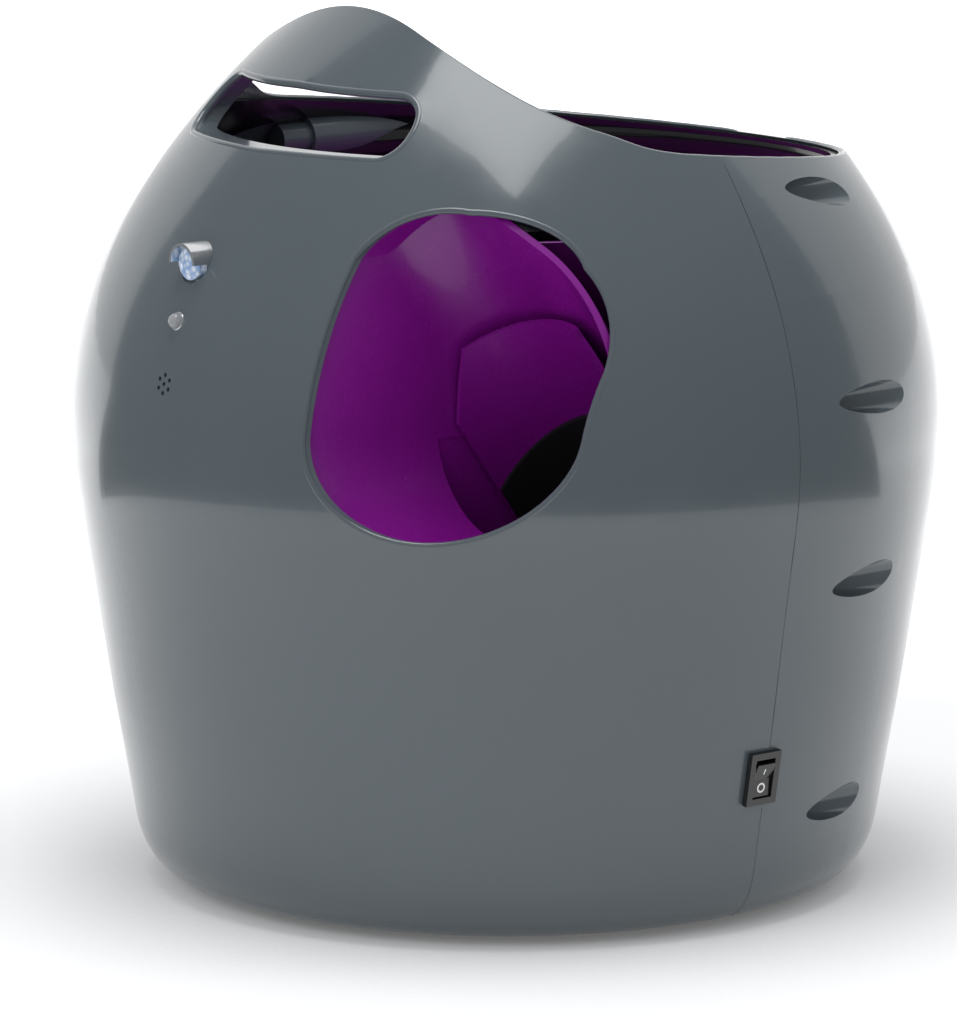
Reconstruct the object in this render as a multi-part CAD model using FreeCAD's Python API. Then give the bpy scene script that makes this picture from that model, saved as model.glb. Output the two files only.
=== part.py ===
import FreeCAD, Part
import math
import os

V = FreeCAD.Vector

# Automatic ball launcher, millimetres, +Z up, the motion sensor faces -Y.
# The origin is on the ground under the middle of the body.

# Body shell
body_r = 166.8
stand = 3.0
shell_wall = 3.0
seat_gap = 0.3
body_top = 352.0
# Each outline point is how far it lies inside the belly radius, and its height.
BODY_OUTLINE = [
    (45.8, 3.0), (30.5, 8.5), (25.5, 17.0), (22.6, 30.0), (15.4, 72.0),
    (5.1, 137.0), (0.0, 177.0), (3.3, 208.0), (12.9, 238.3), (29.8, 268.7),
    (53.1, 299.0), (84.3, 330.0), (111.8, body_top)]
# Outline points where the surface is split into separate faces
BODY_SPLITS = (4, 8)
floor_r = body_r - 45.8

# Mouth: an upright cut behind the handle that turns into a sloping rim
lining_slope = 0.105
rim_z = 288.2
mouth_front_y = 94.8 - body_r
# Each point of the bend is how far it lies behind the front of the mouth, and over rim_z.
BEND_OUTLINE = [(0.0, 44.0), (4.0, 30.0), (14.0, 18.5), (34.0, 8.5), (62.0, 1.2)]

# Handle slot
slot_half = 60.4
slot_low_z = 290.0
slot_high_z = 312.2
slot_low_corner = 7.0
slot_high_corner = 15.0
slot_y = 56.6 - body_r
slot_lip_depth = 5.0
slot_lip_wall = 3.0

# Launch port and tube
port_half = 38.0
launch_x = body_r - 61.8
port_low_z = 195.0
tube_y = 97.8 - body_r
tube_z = 176.0
tilt_rest = 54.0
tilt_travel = 30.0
knob_ratio = 10.0
tube_bore_r = 36.5
tube_wall = 1.7
liner_wall = 1.6
liner_gap = 0.1
pivot_rise = 10.0
pivot_r = 5.0
running_gap = 0.05
hood_front = 42.0
hood_back = -60.0
hood_cut = 24.0
liner_front = -2.6
liner_lean = 0.327
liner_floor = -38.0
liner_back = -118.0
feed_front = -34.0
feed_back = -104.0
guard_rise = 35.0
guard_wall = 2.0

# Port cowl
cowl_half = 39.6
cowl_wall = 2.4
cowl_low_z = 192.0
cowl_back_y = tube_y + 30.0
cheek_front_y = tube_y - 35.0
cheek_low_z = 145.0
sill_z = 186.0
sill_y = tube_y - 19.0
dish_gap = 3.0
dish_corner = 30.0
tab_thick = 2.4
tab_r = 5.5
cowl_tab_y = tube_y - 43.0
cowl_side_tab_y = tube_y - 59.0

# Hopper
bowl_slope = -0.015
hopper_z = 262.0
hopper_y = 8.0
hopper_r = body_r - 37.8
hopper_wall = 2.6
neck_x = launch_x - 5.0
neck_y = tube_y + 87.0
neck_r = 36.0
neck_z = 206.0
neck_drop = 7.0
bead_r = 6.0
bead_ring_r = hopper_r - 4.0
bead_z = 268.0
band_wall = 2.5

# Plunger drive on the tilting tube
stroke = 35.0
plunger_r = 34.3
plunger_face = -65.0
rod_half = 5.0
rod_tail = -141.5
bulkhead = 3.0
gear_module = 1.5
rack_pinion_teeth = 16
wheel_module = 1.0
wheel_teeth = 64
motor_teeth = 12
gear_s = -135.5
gear_width = 9.0
motor_r = 14.0
motor_length = 44.0
mesh_gap = 0.12

# Shell screws: X and Z of each pair of bosses, on both sides
BOSS_PLACES = [(41.8, 272.0), (9.2, 199.0), (14.2, 130.0), (28.9, 42.5)]
pocket_r = 6.0
boss_r = 8.3
pocket_floor_y = 16.0
front_boss_depth = 14.0
screw_r = 1.75
head_r = 3.6
head_height = 2.6

# Base
base_thick = 5.0
base_gap = 0.4
foot_r = 10.0
foot_ring = body_r - 62.8
base_post_ring = body_r - 56.8
base_post_r = 4.5
base_post_top = 26.0

# Battery bay
bay_y = 0.0
bay_width = 108.0
bay_length = 138.0
bay_top = 44.0
bay_wall = 2.0
door_slide = 12.0
door_thick = 2.2
door_gap = 0.3

# Controls
knob_r = 17.0
knob_depth = 12.0
pointer_rise = 1.0
knob_inset = 0.4
cup_gap = 1.2
cup_wall = 2.5
bracket_half = 7.0
angle_x = launch_x - 75.0
distance_x = angle_x - 70.0
shaft_r = 3.0
cam_low_r = 10.0
follower_r = 3.0
follower_s = -60.0
cam_gap = 0.5
cam_front_y = tube_y + 29.0
cam_back_y = tube_y + 65.0

# Front sensor, lamp and speaker
sensor_z = 250.0
sensor_r = 7.6
sensor_wall = 1.1
sensor_out = 7.0
lens_out = 3.6
lamp_z = 229.0
lamp_r = 3.0
speaker_z = 206.2
speaker_hole_r = 0.85
speaker_ring_r = 3.3
speaker_r = 14.0

# Control board
board_y = 32.8 - body_r
board_half = 38.0
board_low_z = 118.0
board_high_z = 236.0
board_thick = 1.6

# Power switch and inlet
switch_y = -3.0
switch_z = 61.1
switch_width = 14.5
switch_height = 20.5
switch_depth = 7.4
switch_frame = 2.6
rocker_pin = -2.6
rocker_out = 2.2
rocker_waist = 1.0
rocker_travel = 15.0
jack_x = -70.0
jack_z = 40.0
jack_bore_r = 2.75
jack_depth = 9.0

# Values worked out from those above
pivot_axis = math.radians(tilt_rest)
hood_r = tube_bore_r + tube_wall
liner_r = tube_bore_r - liner_gap
liner_bore_r = liner_r - liner_wall
pivot_y = tube_y + pivot_rise * math.sin(pivot_axis)
pivot_z = tube_z + pivot_rise * math.cos(pivot_axis)
follower_z = tube_z + follower_s * math.sin(pivot_axis)
angle_z = follower_z - follower_r - cam_gap - cam_low_r
distance_z = angle_z
bay_x = angle_x - bracket_half - 4.0 - bay_width / 2
knob_seat_y = body_r - knob_inset - pointer_rise - knob_depth


def box(x0, x1, y0, y1, z0, z1):
    return Part.makeBox(x1 - x0, y1 - y0, z1 - z0, V(x0, y0, z0))


def rod(radius, length, place, direction):
    return Part.makeCylinder(radius, length, place, direction)


def tube(outer, inner, length, place, direction):
    whole = rod(outer, length, place, direction)
    return whole.cut(rod(inner, length, place, direction))


def prism(points, direction):
    wire = Part.makePolygon([V(*p) for p in points] + [V(*points[0])])
    return Part.Face(wire).extrude(V(*direction))


def save(name, shapes):
    shape = Part.makeCompound(shapes) if isinstance(shapes, list) else shapes
    shape.exportStep("parts/" + name + ".step")
    print(name, round(shape.Volume), len(shape.Solids), shape.isValid())


def body_curve(inset):
    """Outline of the body, moved in by inset along its own normal."""
    points = [V(body_r - gap, 0, z) for gap, z in BODY_OUTLINE]
    curve = Part.BSplineCurve()
    curve.interpolate(points)
    moved = []
    for knot in curve.getKnots():
        point, along = curve.getD1(knot)
        along.normalize()
        moved.append(point + V(-along.z, 0, along.x) * inset)
    result = Part.BSplineCurve()
    result.interpolate(moved)
    return result, moved[0], moved[-1]


def body(inset, low=None):
    """Closed solid inside the body outline; low is the height of its flat bottom."""
    curve, first, last = body_curve(inset)
    low = first.z if low is None else low
    corner = V(first.x, 0, low)
    corners = [last, V(0, 0, last.z), V(0, 0, low), corner]
    if low < first.z:
        corners.append(first)
    knots = curve.getKnots()
    stops = [knots[0]] + [knots[split] for split in BODY_SPLITS] + [knots[-1]]
    edges = [curve.toShape(start, end) for start, end in zip(stops, stops[1:])]
    for start, end in zip(corners, corners[1:]):
        edges.append(Part.LineSegment(start, end).toShape())
    wire = Part.Wire(Part.__sortEdges__(edges))
    return Part.Face(wire).revolve(V(0, 0, 0), V(0, 0, 1), 360)


def body_radius(z, inset=0.0):
    """Radius of the body, moved in by inset, at the height z."""
    curve = body_curve(inset)[0]
    level = Part.Plane(V(0, 0, z), V(0, 0, 1))
    return max(point.X for point in curve.intersect(level)[0])


def mouth_tool(drop=0.0):
    """Everything above the rim of the mouth, lowered by drop."""
    points = [V(0, mouth_front_y + back, rim_z + rise - drop) for back, rise in BEND_OUTLINE]
    first = points[0]
    last = points[-1]
    bend = Part.BSplineCurve()
    bend.interpolate(points, InitialTangent=V(0, 0, -1), FinalTangent=V(0, 1, -lining_slope))
    far = body_r + 30
    end = V(0, far, last.z - lining_slope * (far - last.y))
    corners = [last, end, V(0, far, body_top + 20), V(0, first.y, body_top + 20), first]
    edges = [bend.toShape()]
    for start, end in zip(corners, corners[1:]):
        edges.append(Part.LineSegment(start, end).toShape())
    face = Part.Face(Part.Wire(Part.__sortEdges__(edges)))
    tool = face.extrude(V(2 * body_r + 60, 0, 0))
    tool.translate(V(-body_r - 30, 0, 0))
    return tool


def below_plane(z_at_middle, slope):
    """Everything under a plane that falls towards the back with this slope."""
    far = body_r + 30
    high = z_at_middle + slope * (far + hopper_y)
    low = z_at_middle - slope * (far - hopper_y)
    points = [(-far, -far, -20), (-far, far, -20), (-far, far, low), (-far, -far, high)]
    return prism(points, (2 * far, 0, 0))


def slot_prism(grow, outside, inside):
    """The handle slot, grown by grow, from outside the surface to inside it."""
    half = slot_half + grow
    low_z = slot_low_z - grow
    high_z = slot_high_z + grow
    shape = box(-half, half, slot_y - outside, slot_y + inside, low_z, high_z)
    for z, radius in ((low_z, slot_low_corner), (high_z, slot_high_corner)):
        edges = [e for e in shape.Edges if abs(e.BoundBox.ZMax - z) < 0.01
                 and e.BoundBox.ZLength < 0.01 and e.BoundBox.XLength < 0.01]
        shape = shape.makeFillet(radius + grow - 0.2, edges)
    return shape


def port_prism(half, low_z, grow_top, y0, y1):
    """The rounded port outline in X and Z, from y0 to y1."""
    left = launch_x - half
    right = launch_x + half
    top = sensor_z + 23.4 + grow_top
    start = V(left, y0, top - 17)
    points = [V(left, y0, low_z), V(launch_x, y0, low_z - half), V(right, y0, low_z)]
    side = V(right, y0, low_z + 24)
    lean = V(launch_x + half * 0.61, y0, top - 19)
    crown = V(launch_x - half * 0.3, y0, top)
    edges = [Part.LineSegment(start, points[0]).toShape(),
             Part.Arc(*points).toShape(),
             Part.LineSegment(points[2], side).toShape(),
             Part.Arc(side, V(launch_x + half * 0.89, y0, top - 36), lean).toShape(),
             Part.Arc(lean, V(launch_x + half * 0.2, y0, top - 4.5), crown).toShape(),
             Part.Arc(crown, V(left + half * 0.2, y0, top - 4.5), start).toShape()]
    return Part.Face(Part.Wire(edges)).extrude(V(0, y1 - y0, 0))


def tilted(shape):
    """From tube axes, x across, y over the tube, z towards its mouth, to the body."""
    shape.rotate(V(0, 0, 0), V(1, 0, 0), 90 - tilt_rest)
    shape.translate(V(launch_x, tube_y, tube_z))
    return shape


def tilted_point(x, over, along):
    """The same for one point."""
    y = tube_y - along * math.cos(pivot_axis) + over * math.sin(pivot_axis)
    z = tube_z + along * math.sin(pivot_axis) + over * math.cos(pivot_axis)
    return V(launch_x + x, y, z)


def boss_places():
    return [(side * (body_r - inset), z) for inset, z in BOSS_PLACES for side in (-1, 1)]


def base_posts():
    angles = [25, 90, 155, 205, 270, 335]
    return [(base_post_ring * math.cos(math.radians(a)),
             base_post_ring * math.sin(math.radians(a)), a) for a in angles]


def cowl_posts():
    return [(launch_x - cowl_half - 9.6, 180.0), (launch_x - cowl_half - 9.6, 240.0),
            (launch_x, 142.0)]


def screw_posts():
    """Posts on the front shell: X, the Y of their flat end, and Z."""
    cowl = [(x, cowl_tab_y if x == launch_x else cowl_side_tab_y, z) for x, z in cowl_posts()]
    return cowl + [(x, board_y, z) for x, z in board_posts()]


def speaker_y():
    return -body_radius(speaker_z + speaker_r, shell_wall) + 4.0


def speaker_seat():
    return tube(speaker_r + 2.0, speaker_r - 2.0, 40, V(0, speaker_y() - 40, speaker_z), V(0, 1, 0))


def sensor_flange_y():
    return -body_radius(sensor_z + sensor_r + 3, shell_wall) + 1.0


def sensor_seat():
    return rod(sensor_r + 3.0, 40, V(0, sensor_flange_y() - 40, sensor_z), V(0, 1, 0))


def base_post(x, y, angle):
    """Screw post and its rib, standing on the base plate inside the shell."""
    low = stand + base_thick
    post = rod(base_post_r, base_post_top - low, V(x, y, low), V(0, 0, 1))
    rib = box(0, body_r - base_post_ring, -1.5, 1.5, low, base_post_top)
    rib.rotate(V(0, 0, 0), V(0, 0, 1), angle)
    rib.translate(V(x, y, 0))
    return [post, rib]


def shell_half(front):
    """One half of the shell with its bosses, ribs and openings."""
    outer = body(0)
    cavity = body(shell_wall, -1.0)
    skin = outer.cut(cavity).cut(rod(floor_r, stand + base_thick, V(0, 0, 0), V(0, 0, 1)))
    keep = box(-body_r - 9, body_r + 9, -body_r - 9, 0, -1, body_top) if front else \
        box(-body_r - 9, body_r + 9, 0, body_r + 9, -1, body_top)
    extras = []
    inner = body(shell_wall * 0.5)
    for x, z in boss_places():
        if front:
            extras.append(rod(boss_r - 2, front_boss_depth, V(x, -front_boss_depth, z), V(0, 1, 0)))
        else:
            extras.append(rod(boss_r, body_r, V(x, 0, z), V(0, 1, 0)).common(outer))
    for x, y, angle in base_posts():
        if (y < 0) == front and abs(y) > 1:
            extras += [piece.common(inner) for piece in base_post(x, y, angle)]
    if front:
        lip = slot_prism(slot_lip_wall, 40, 40)
        extras.append(lip.common(inner).cut(body(shell_wall + slot_lip_depth)))
        for x, y, z in screw_posts():
            post = rod(4.5, body_r + y, V(x, -body_r, z), V(0, 1, 0))
            extras.append(post.common(inner))
        extras.append(speaker_seat().common(inner))
        extras.append(sensor_seat().common(inner))
    half = skin.common(keep)
    extras = [piece.common(keep) for piece in extras]
    half = half.fuse(extras)
    half = half.cut(mouth_tool())
    if front:
        half = half.cut(slot_prism(0, 40, 40))
        half = half.cut(port_prism(port_half, port_low_z, 0, -body_r, -60))
        half = half.cut(front_holes())
        cuts = [rod(screw_r + 0.05, front_boss_depth - 2, V(x, -front_boss_depth + 2, z), V(0, 1, 0))
                for x, z in boss_places()]
        for x, y, z in screw_posts():
            cuts.append(rod(screw_r + 0.05, 9, V(x, y - 9, z), V(0, 1, 0)))
        half = half.cut(cuts)
    else:
        cuts = [rod(pocket_r, body_r, V(x, pocket_floor_y, z), V(0, 1, 0))
                for x, z in boss_places()]
        cuts += [rod(screw_r + 0.05, pocket_floor_y, V(x, 0, z), V(0, 1, 0))
                 for x, z in boss_places()]
        cuts += rear_holes()
        half = half.cut(cuts)
    cuts = [rod(screw_r + 0.05, 14, V(x, y, stand + base_thick), V(0, 0, 1))
            for x, y, a in base_posts() if (y < 0) == front]
    cuts.append(switch_hole())
    return half.cut(cuts)


def front_holes():
    """Bores for the sensor hood, the lamp and the speaker."""
    holes = [rod(sensor_r, 40, V(0, -body_radius(sensor_z) - 20, sensor_z), V(0, 1, 0)),
             rod(lamp_r, 40, V(0, -body_radius(lamp_z) - 20, lamp_z), V(0, 1, 0)),
             rod(speaker_hole_r, 60, V(0, -body_r - 20, speaker_z), V(0, 1, 0))]
    for step in range(6):
        turn = math.radians(60 * step + 30)
        place = V(speaker_ring_r * math.cos(turn), -body_r - 20,
                  speaker_z + speaker_ring_r * math.sin(turn))
        holes.append(rod(speaker_hole_r, 60, place, V(0, 1, 0)))
    return holes


def rear_holes():
    """Bore for the power inlet."""
    y = body_r - 60
    return [rod(jack_bore_r + 2.6, 90, V(jack_x, y, jack_z), V(0, 1, 0))]


def switch_hole():
    half_w = switch_width / 2 - 1.0
    half_h = switch_height / 2 - 1.0
    low = box(-30, 20, -half_w, half_w, -half_h, half_h)
    return on_switch_face(low.cut(box(-31, -12, -20, 20, -20, 20)))


def base_plate():
    """Round floor of the body with the battery opening and the foot seats."""
    plate = rod(floor_r - base_gap, base_thick, V(0, 0, stand), V(0, 0, 1))
    x0 = bay_x - bay_width / 2
    x1 = bay_x + bay_width / 2
    y0 = bay_y - bay_length / 2
    y1 = bay_y + bay_length / 2
    margin = 3.0
    cuts = [box(x0 + 4, x1 - 4, y0 + 4, y1 - 4, 0, 20),
            box(x0, x1 + door_slide, y0, y1, 0, stand + door_thick + door_gap)]
    plate = plate.cut(cuts)
    lips = [box(x0, x1 + door_slide, y0, y0 + margin, stand, stand + 1.0),
            box(x0, x1 + door_slide, y1 - margin, y1, stand, stand + 1.0)]
    plate = plate.fuse(lips)
    screws = []
    for x, y, angle in base_posts():
        screws.append(rod(screw_r + 0.05, base_thick, V(x, y, stand), V(0, 0, 1)))
        screws.append(rod(head_r + 0.2, head_height, V(x, y, stand), V(0, 0, 1)))
    seats = [tube(6.0, 3.2, 12.0, V(x, y, stand + base_thick), V(0, 0, 1))
             for x, y in bracket_feet()]
    return plate.cut(screws).fuse(seats).removeSplitter()


def bracket_feet():
    return [(angle_x, cam_front_y - 7.0)]


def battery_door():
    x0 = bay_x - bay_width / 2 + door_gap
    x1 = bay_x + bay_width / 2 - door_gap
    y0 = bay_y - bay_length / 2 + door_gap
    y1 = bay_y + bay_length / 2 - door_gap
    margin = 3.0 + door_gap
    plate = box(x0, x1, y0 + margin, y1 - margin, stand, stand + door_thick)
    tongue = box(x0, x1, y0, y1, stand + 1.0 + door_gap, stand + door_thick)
    grips = [box(x1 - 12 - 5 * i, x1 - 9.5 - 5 * i, bay_y - 16, bay_y + 16,
                 stand - 0.1, stand + 0.8) for i in range(4)]
    return plate.fuse(tongue).cut(grips).removeSplitter()


def battery_tray():
    """Open box on the base plate with ribs between the cells."""
    low = stand + base_thick
    x0 = bay_x - bay_width / 2
    x1 = bay_x + bay_width / 2
    y0 = bay_y - bay_length / 2
    y1 = bay_y + bay_length / 2
    whole = box(x0, x1, y0, y1, low, bay_top)
    hollow = box(x0 + bay_wall, x1 - bay_wall, y0 + bay_wall, y1 - bay_wall, 0, bay_top - bay_wall)
    tray = whole.cut(hollow)
    pitch = (bay_width - 2 * bay_wall) / 3
    ribs = [box(x0 + bay_wall + pitch * i - 0.8, x0 + bay_wall + pitch * i + 0.8,
                y0 + bay_wall, y1 - bay_wall, bay_top - 14, bay_top - bay_wall + 0.5)
            for i in (1, 2)]
    return tray.fuse(ribs).removeSplitter()


def battery_contacts():
    """Bent metal plates at both ends of each cell row."""
    x0 = bay_x - bay_width / 2 + bay_wall
    pitch = (bay_width - 2 * bay_wall) / 3
    plates = []
    for row in range(3):
        middle = x0 + pitch * (row + 0.5)
        for side in (-1, 1):
            face = bay_y + side * (bay_length / 2 - bay_wall)
            inner = face - side * 0.5
            plate = box(middle - 11, middle + 11, min(face, inner), max(face, inner), 14, 36)
            stud = rod(4, 1.5, V(middle, inner, 25), V(0, -side, 0))
            plates.append(plate.fuse(stud).removeSplitter())
    return plates


def feet():
    shapes = []
    for quarter in range(4):
        turn = math.radians(45 + 90 * quarter)
        x = foot_ring * math.cos(turn)
        y = foot_ring * math.sin(turn)
        foot = Part.makeCone(foot_r - 1, foot_r, stand, V(x, y, 0), V(0, 0, 1))
        shapes.append(foot)
    return shapes


def circle_at(radius, x, y, z, slope):
    turn = math.degrees(math.atan(slope))
    ring = Part.Circle(V(0, 0, 0), V(0, 0, 1), radius).toShape()
    ring.rotate(V(0, 0, 0), V(1, 0, 0), -turn)
    ring.translate(V(x, y, z))
    return Part.Wire([ring])


def funnel(shrink, rise):
    middle_x = neck_x * 0.42
    sections = [circle_at(neck_r + hopper_wall - shrink, neck_x, neck_y, neck_z + rise, 0),
                circle_at(hopper_r * 0.68 - shrink, middle_x, (hopper_y + neck_y) / 2,
                          neck_z + 27 + rise, bowl_slope * 0.6),
                circle_at(hopper_r - shrink, 0, hopper_y, hopper_z + rise, bowl_slope)]
    return Part.makeLoft(sections, True, False)


def hopper():
    """Skewed bowl that rolls the balls to the feed neck."""
    bowl = funnel(0, 0).cut(funnel(0.8, hopper_wall))
    neck = rod(neck_r + hopper_wall + 0.6, neck_drop + 1.5, V(neck_x, neck_y, neck_z - neck_drop),
               V(0, 0, 1))
    apron = box(neck_x - 24, neck_x + 24, neck_y + neck_r, neck_y + neck_r + hopper_wall,
                neck_z - 38, neck_z + 1)
    whole = bowl.fuse([neck, apron])
    whole = whole.cut(rod(neck_r, 45 + neck_drop, V(neck_x, neck_y, neck_z - 45), V(0, 0, 1)))
    whole = whole.common(body(shell_wall + seat_gap))
    gap = cowl_wall + seat_gap
    half = cowl_half + gap
    room = box(launch_x - half, launch_x + half, -body_r, cowl_back_y, cowl_low_z - cowl_half, body_top)
    return whole.cut(boss_clearance() + [room.common(trough(gap))])


def boss_clearance():
    x = body_r - BOSS_PLACES[0][0]
    z = BOSS_PLACES[0][1]
    return [rod(boss_r + seat_gap, body_r + 40, V(side * x, -40, z), V(0, 1, 0))
            for side in (-1, 1)]


def hopper_rim():
    """Dark lining of the mouth with the round bead that the bowl hangs under."""
    skin = body(shell_wall + seat_gap).cut(body(shell_wall + seat_gap + band_wall))
    skin = skin.common(below_plane(rim_z - 1.5, lining_slope)).cut(below_plane(bead_z, bowl_slope))
    bead = Part.makeTorus(bead_ring_r, bead_r)
    bead.rotate(V(0, 0, 0), V(1, 0, 0), -math.degrees(math.atan(bowl_slope)))
    bead.translate(V(0, hopper_y, bead_z))
    bead = bead.common(body(shell_wall + seat_gap))
    whole = skin.fuse(bead)
    whole = whole.cut(slot_prism(slot_lip_wall + 1, 30, 40))
    whole = whole.cut(mouth_tool(1.0))
    whole = whole.cut(boss_clearance() + [dish(cowl_wall + seat_gap)])
    solids = sorted(whole.Solids, key=lambda s: s.Volume)
    return solids[-1].removeSplitter()


def trough(grow):
    """Solid along the tube at rest: flat sides, rounded above, open below."""
    half = cowl_half + grow
    top = hood_r + dish_gap + grow
    corner = dish_corner + grow
    lean = corner * math.sqrt(0.5)
    edges = [Part.LineSegment(V(-half, -200, 0), V(-half, top - corner, 0)).toShape(),
             Part.Arc(V(-half, top - corner, 0), V(-half + corner - lean, top - corner + lean, 0),
                      V(-half + corner, top, 0)).toShape(),
             Part.LineSegment(V(-half + corner, top, 0), V(half - corner, top, 0)).toShape(),
             Part.Arc(V(half - corner, top, 0), V(half - corner + lean, top - corner + lean, 0),
                      V(half, top - corner, 0)).toShape(),
             Part.LineSegment(V(half, top - corner, 0), V(half, -200, 0)).toShape(),
             Part.LineSegment(V(half, -200, 0), V(-half, -200, 0)).toShape()]
    solid = Part.Face(Part.Wire(edges)).extrude(V(0, 0, 400))
    solid.translate(V(0, 0, -200))
    return tilted(solid)


def dish(grow):
    """Space behind the launch port down to the rounded back, grown by grow."""
    outline = port_prism(cowl_half + grow, cowl_low_z, grow, -body_r - grow, cowl_back_y)
    return outline.common(trough(grow))


def port_cowl():
    """Purple dish behind the launch port with the cheeks that carry the tube."""
    left = launch_x - cowl_half
    right = launch_x + cowl_half
    inner = dish(0)
    pieces = [dish(cowl_wall)]
    for side, x in ((-1, left), (1, right)):
        x0 = min(x, x + side * cowl_wall)
        cheek = box(x0, x0 + cowl_wall, cheek_front_y, cowl_back_y, cheek_low_z, pivot_z + 50)
        pieces.append(cheek.common(trough(cowl_wall)))
        pieces.append(rod(pivot_r + 3, cowl_wall + 1.6, V(x, pivot_y, pivot_z), V(side, 0, 0)))
    for x, z in cowl_posts():
        y = cowl_tab_y if x == launch_x else cowl_side_tab_y
        pieces.append(rod(tab_r, tab_thick, V(x, y, z), V(0, 1, 0)))
        if x == launch_x:
            pieces.append(box(x - 5, x + 5, y, y + tab_thick, z, cowl_low_z - cowl_half - 1))
        else:
            pieces.append(box(x, left - 0.5, y, y + tab_thick, z - 5, z + 5))
    whole = pieces[0].fuse(pieces[1:])
    cuts = [inner, box(left, right, sill_y, 0, 0, sill_z),
            box(left, right, cowl_back_y - 0.1, 0, 0, body_top),
            rod(pivot_r + running_gap, 200, V(left - 60, pivot_y, pivot_z), V(1, 0, 0))]
    for x, z in cowl_posts():
        y = cowl_tab_y if x == launch_x else cowl_side_tab_y
        cuts.append(rod(screw_r + 0.05, 10, V(x, y - 3, z), V(0, 1, 0)))
    whole = whole.cut(cuts)
    whole = whole.common(body(shell_wall + seat_gap))
    solids = sorted(whole.Solids, key=lambda s: s.Volume)
    return solids[-1].removeSplitter()


def launch_barrel():
    """Tilting tube: open below in front, closed behind, with the feed guard on top."""
    up = V(0, 0, 1)
    hood = tube(hood_r, tube_bore_r, hood_front - hood_back, V(0, 0, hood_back), up)
    hood = hood.common(box(-60, 60, 0, 60, hood_back, hood_front))
    trim = prism([(12, -1, hood_front + 1), (60, -1, hood_front + 1), (60, -1, -30),
                  (39, -1, -6), (13, -1, hood_front - 4)], (0, 80, 0))
    corner = prism([(-60, -1, hood_cut - 7), (-60, 14, hood_cut + 14), (-60, 17, hood_front + 1),
                    (-60, -1, hood_front + 1)], (60, 0, 0))
    hood = hood.cut([trim, corner])
    rear = tube(hood_r, tube_bore_r, hood_back - liner_back, V(0, 0, liner_back), up)
    guard = box(-hood_r, hood_r, 0, guard_rise + 10, feed_back - guard_wall, feed_front)
    guard = guard.cut(box(-hood_r + guard_wall, hood_r - guard_wall, -1, guard_rise + 11,
                          feed_back, feed_front + 1))
    guard = guard.cut(rod(tube_bore_r, 200, V(0, 0, -160), up))
    slope = prism([(-60, guard_rise + 12, feed_front + 1), (-60, 0, feed_front + 1),
                   (-60, guard_rise + 12, feed_front - 34)], (120, 0, 0))
    guard = guard.cut(slope)
    trunnions = [rod(pivot_r, cowl_wall + 6, V(side * (hood_r - 3.6), pivot_rise, 0), V(side, 0, 0))
                 for side in (-1, 1)]
    pin = rod(follower_r, launch_x - hood_r - angle_x + 9, V(-hood_r + 1, 0, follower_s), V(-1, 0, 0))
    whole = hood.fuse([rear, guard] + trunnions + [pin])
    whole = whole.cut(box(-hood_r + guard_wall, hood_r - guard_wall, 6, 60, feed_back, feed_front))
    bore = rod(tube_bore_r, 240, V(0, 0, -160), up)
    return tilted(whole.cut(bore).removeSplitter())


def launch_chamber():
    """Dark inner tube that the ball lies in."""
    up = V(0, 0, 1)
    length = liner_front - liner_back
    whole = tube(liner_r, liner_bore_r, length, V(0, 0, liner_back), up)
    drop = liner_lean * 2 * liner_r
    lean = prism([(-60, -liner_r, liner_front - drop), (-60, liner_r, liner_front),
                  (-60, liner_r, liner_front + 9), (-60, -liner_r, liner_front + 9)], (120, 0, 0))
    floor = box(-60, 60, -60, 0, liner_floor, liner_front + 9)
    whole = whole.cut([lean, floor])
    feed = box(-hood_r + guard_wall, hood_r - guard_wall, 6, 60, feed_back, feed_front)
    return tilted(whole.cut(feed).removeSplitter())


def involute_gear(module, teeth, width, bore):
    """Spur gear about Z with involute flanks as arcs through three points."""
    pressure = math.radians(20)
    pitch_r = module * teeth / 2
    base_r = pitch_r * math.cos(pressure)
    tip_r = pitch_r + module * 0.95
    root_r = pitch_r - module * 1.2
    half_pitch = math.pi / (2 * teeth) - mesh_gap / (2 * pitch_r)
    spread = math.tan(pressure) - pressure

    def flank(radius, side, turn):
        angle = 0.0
        if radius > base_r:
            roll = math.acos(base_r / radius)
            angle = math.tan(roll) - roll
        place = turn + side * (half_pitch + spread - angle)
        return V(radius * math.cos(place), radius * math.sin(place), 0)

    start_r = max(base_r, root_r + 0.01)
    middle_r = (start_r + tip_r) / 2
    edges = []
    step = 2 * math.pi / teeth
    for tooth in range(teeth):
        turn = tooth * step
        low_a = flank(start_r, -1, turn)
        high_a = flank(tip_r, -1, turn)
        high_b = flank(tip_r, 1, turn)
        low_b = flank(start_r, 1, turn)
        foot_a = V(low_a.x, low_a.y, 0).normalize() * root_r
        foot_b = V(low_b.x, low_b.y, 0).normalize() * root_r
        top = V(tip_r * math.cos(turn), tip_r * math.sin(turn), 0)
        next_low = flank(start_r, -1, turn + step)
        next_foot = V(next_low.x, next_low.y, 0).normalize() * root_r
        gap = turn + step / 2
        valley = V(root_r * math.cos(gap), root_r * math.sin(gap), 0)
        edges.append(Part.LineSegment(foot_a, low_a).toShape())
        edges.append(Part.Arc(low_a, flank(middle_r, -1, turn), high_a).toShape())
        edges.append(Part.Arc(high_a, top, high_b).toShape())
        edges.append(Part.Arc(high_b, flank(middle_r, 1, turn), low_b).toShape())
        edges.append(Part.LineSegment(low_b, foot_b).toShape())
        edges.append(Part.Arc(foot_b, valley, next_foot).toShape())
    blank = Part.Face(Part.Wire(edges)).extrude(V(0, 0, width))
    return blank.cut(rod(bore, width, V(0, 0, 0), V(0, 0, 1)))


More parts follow.
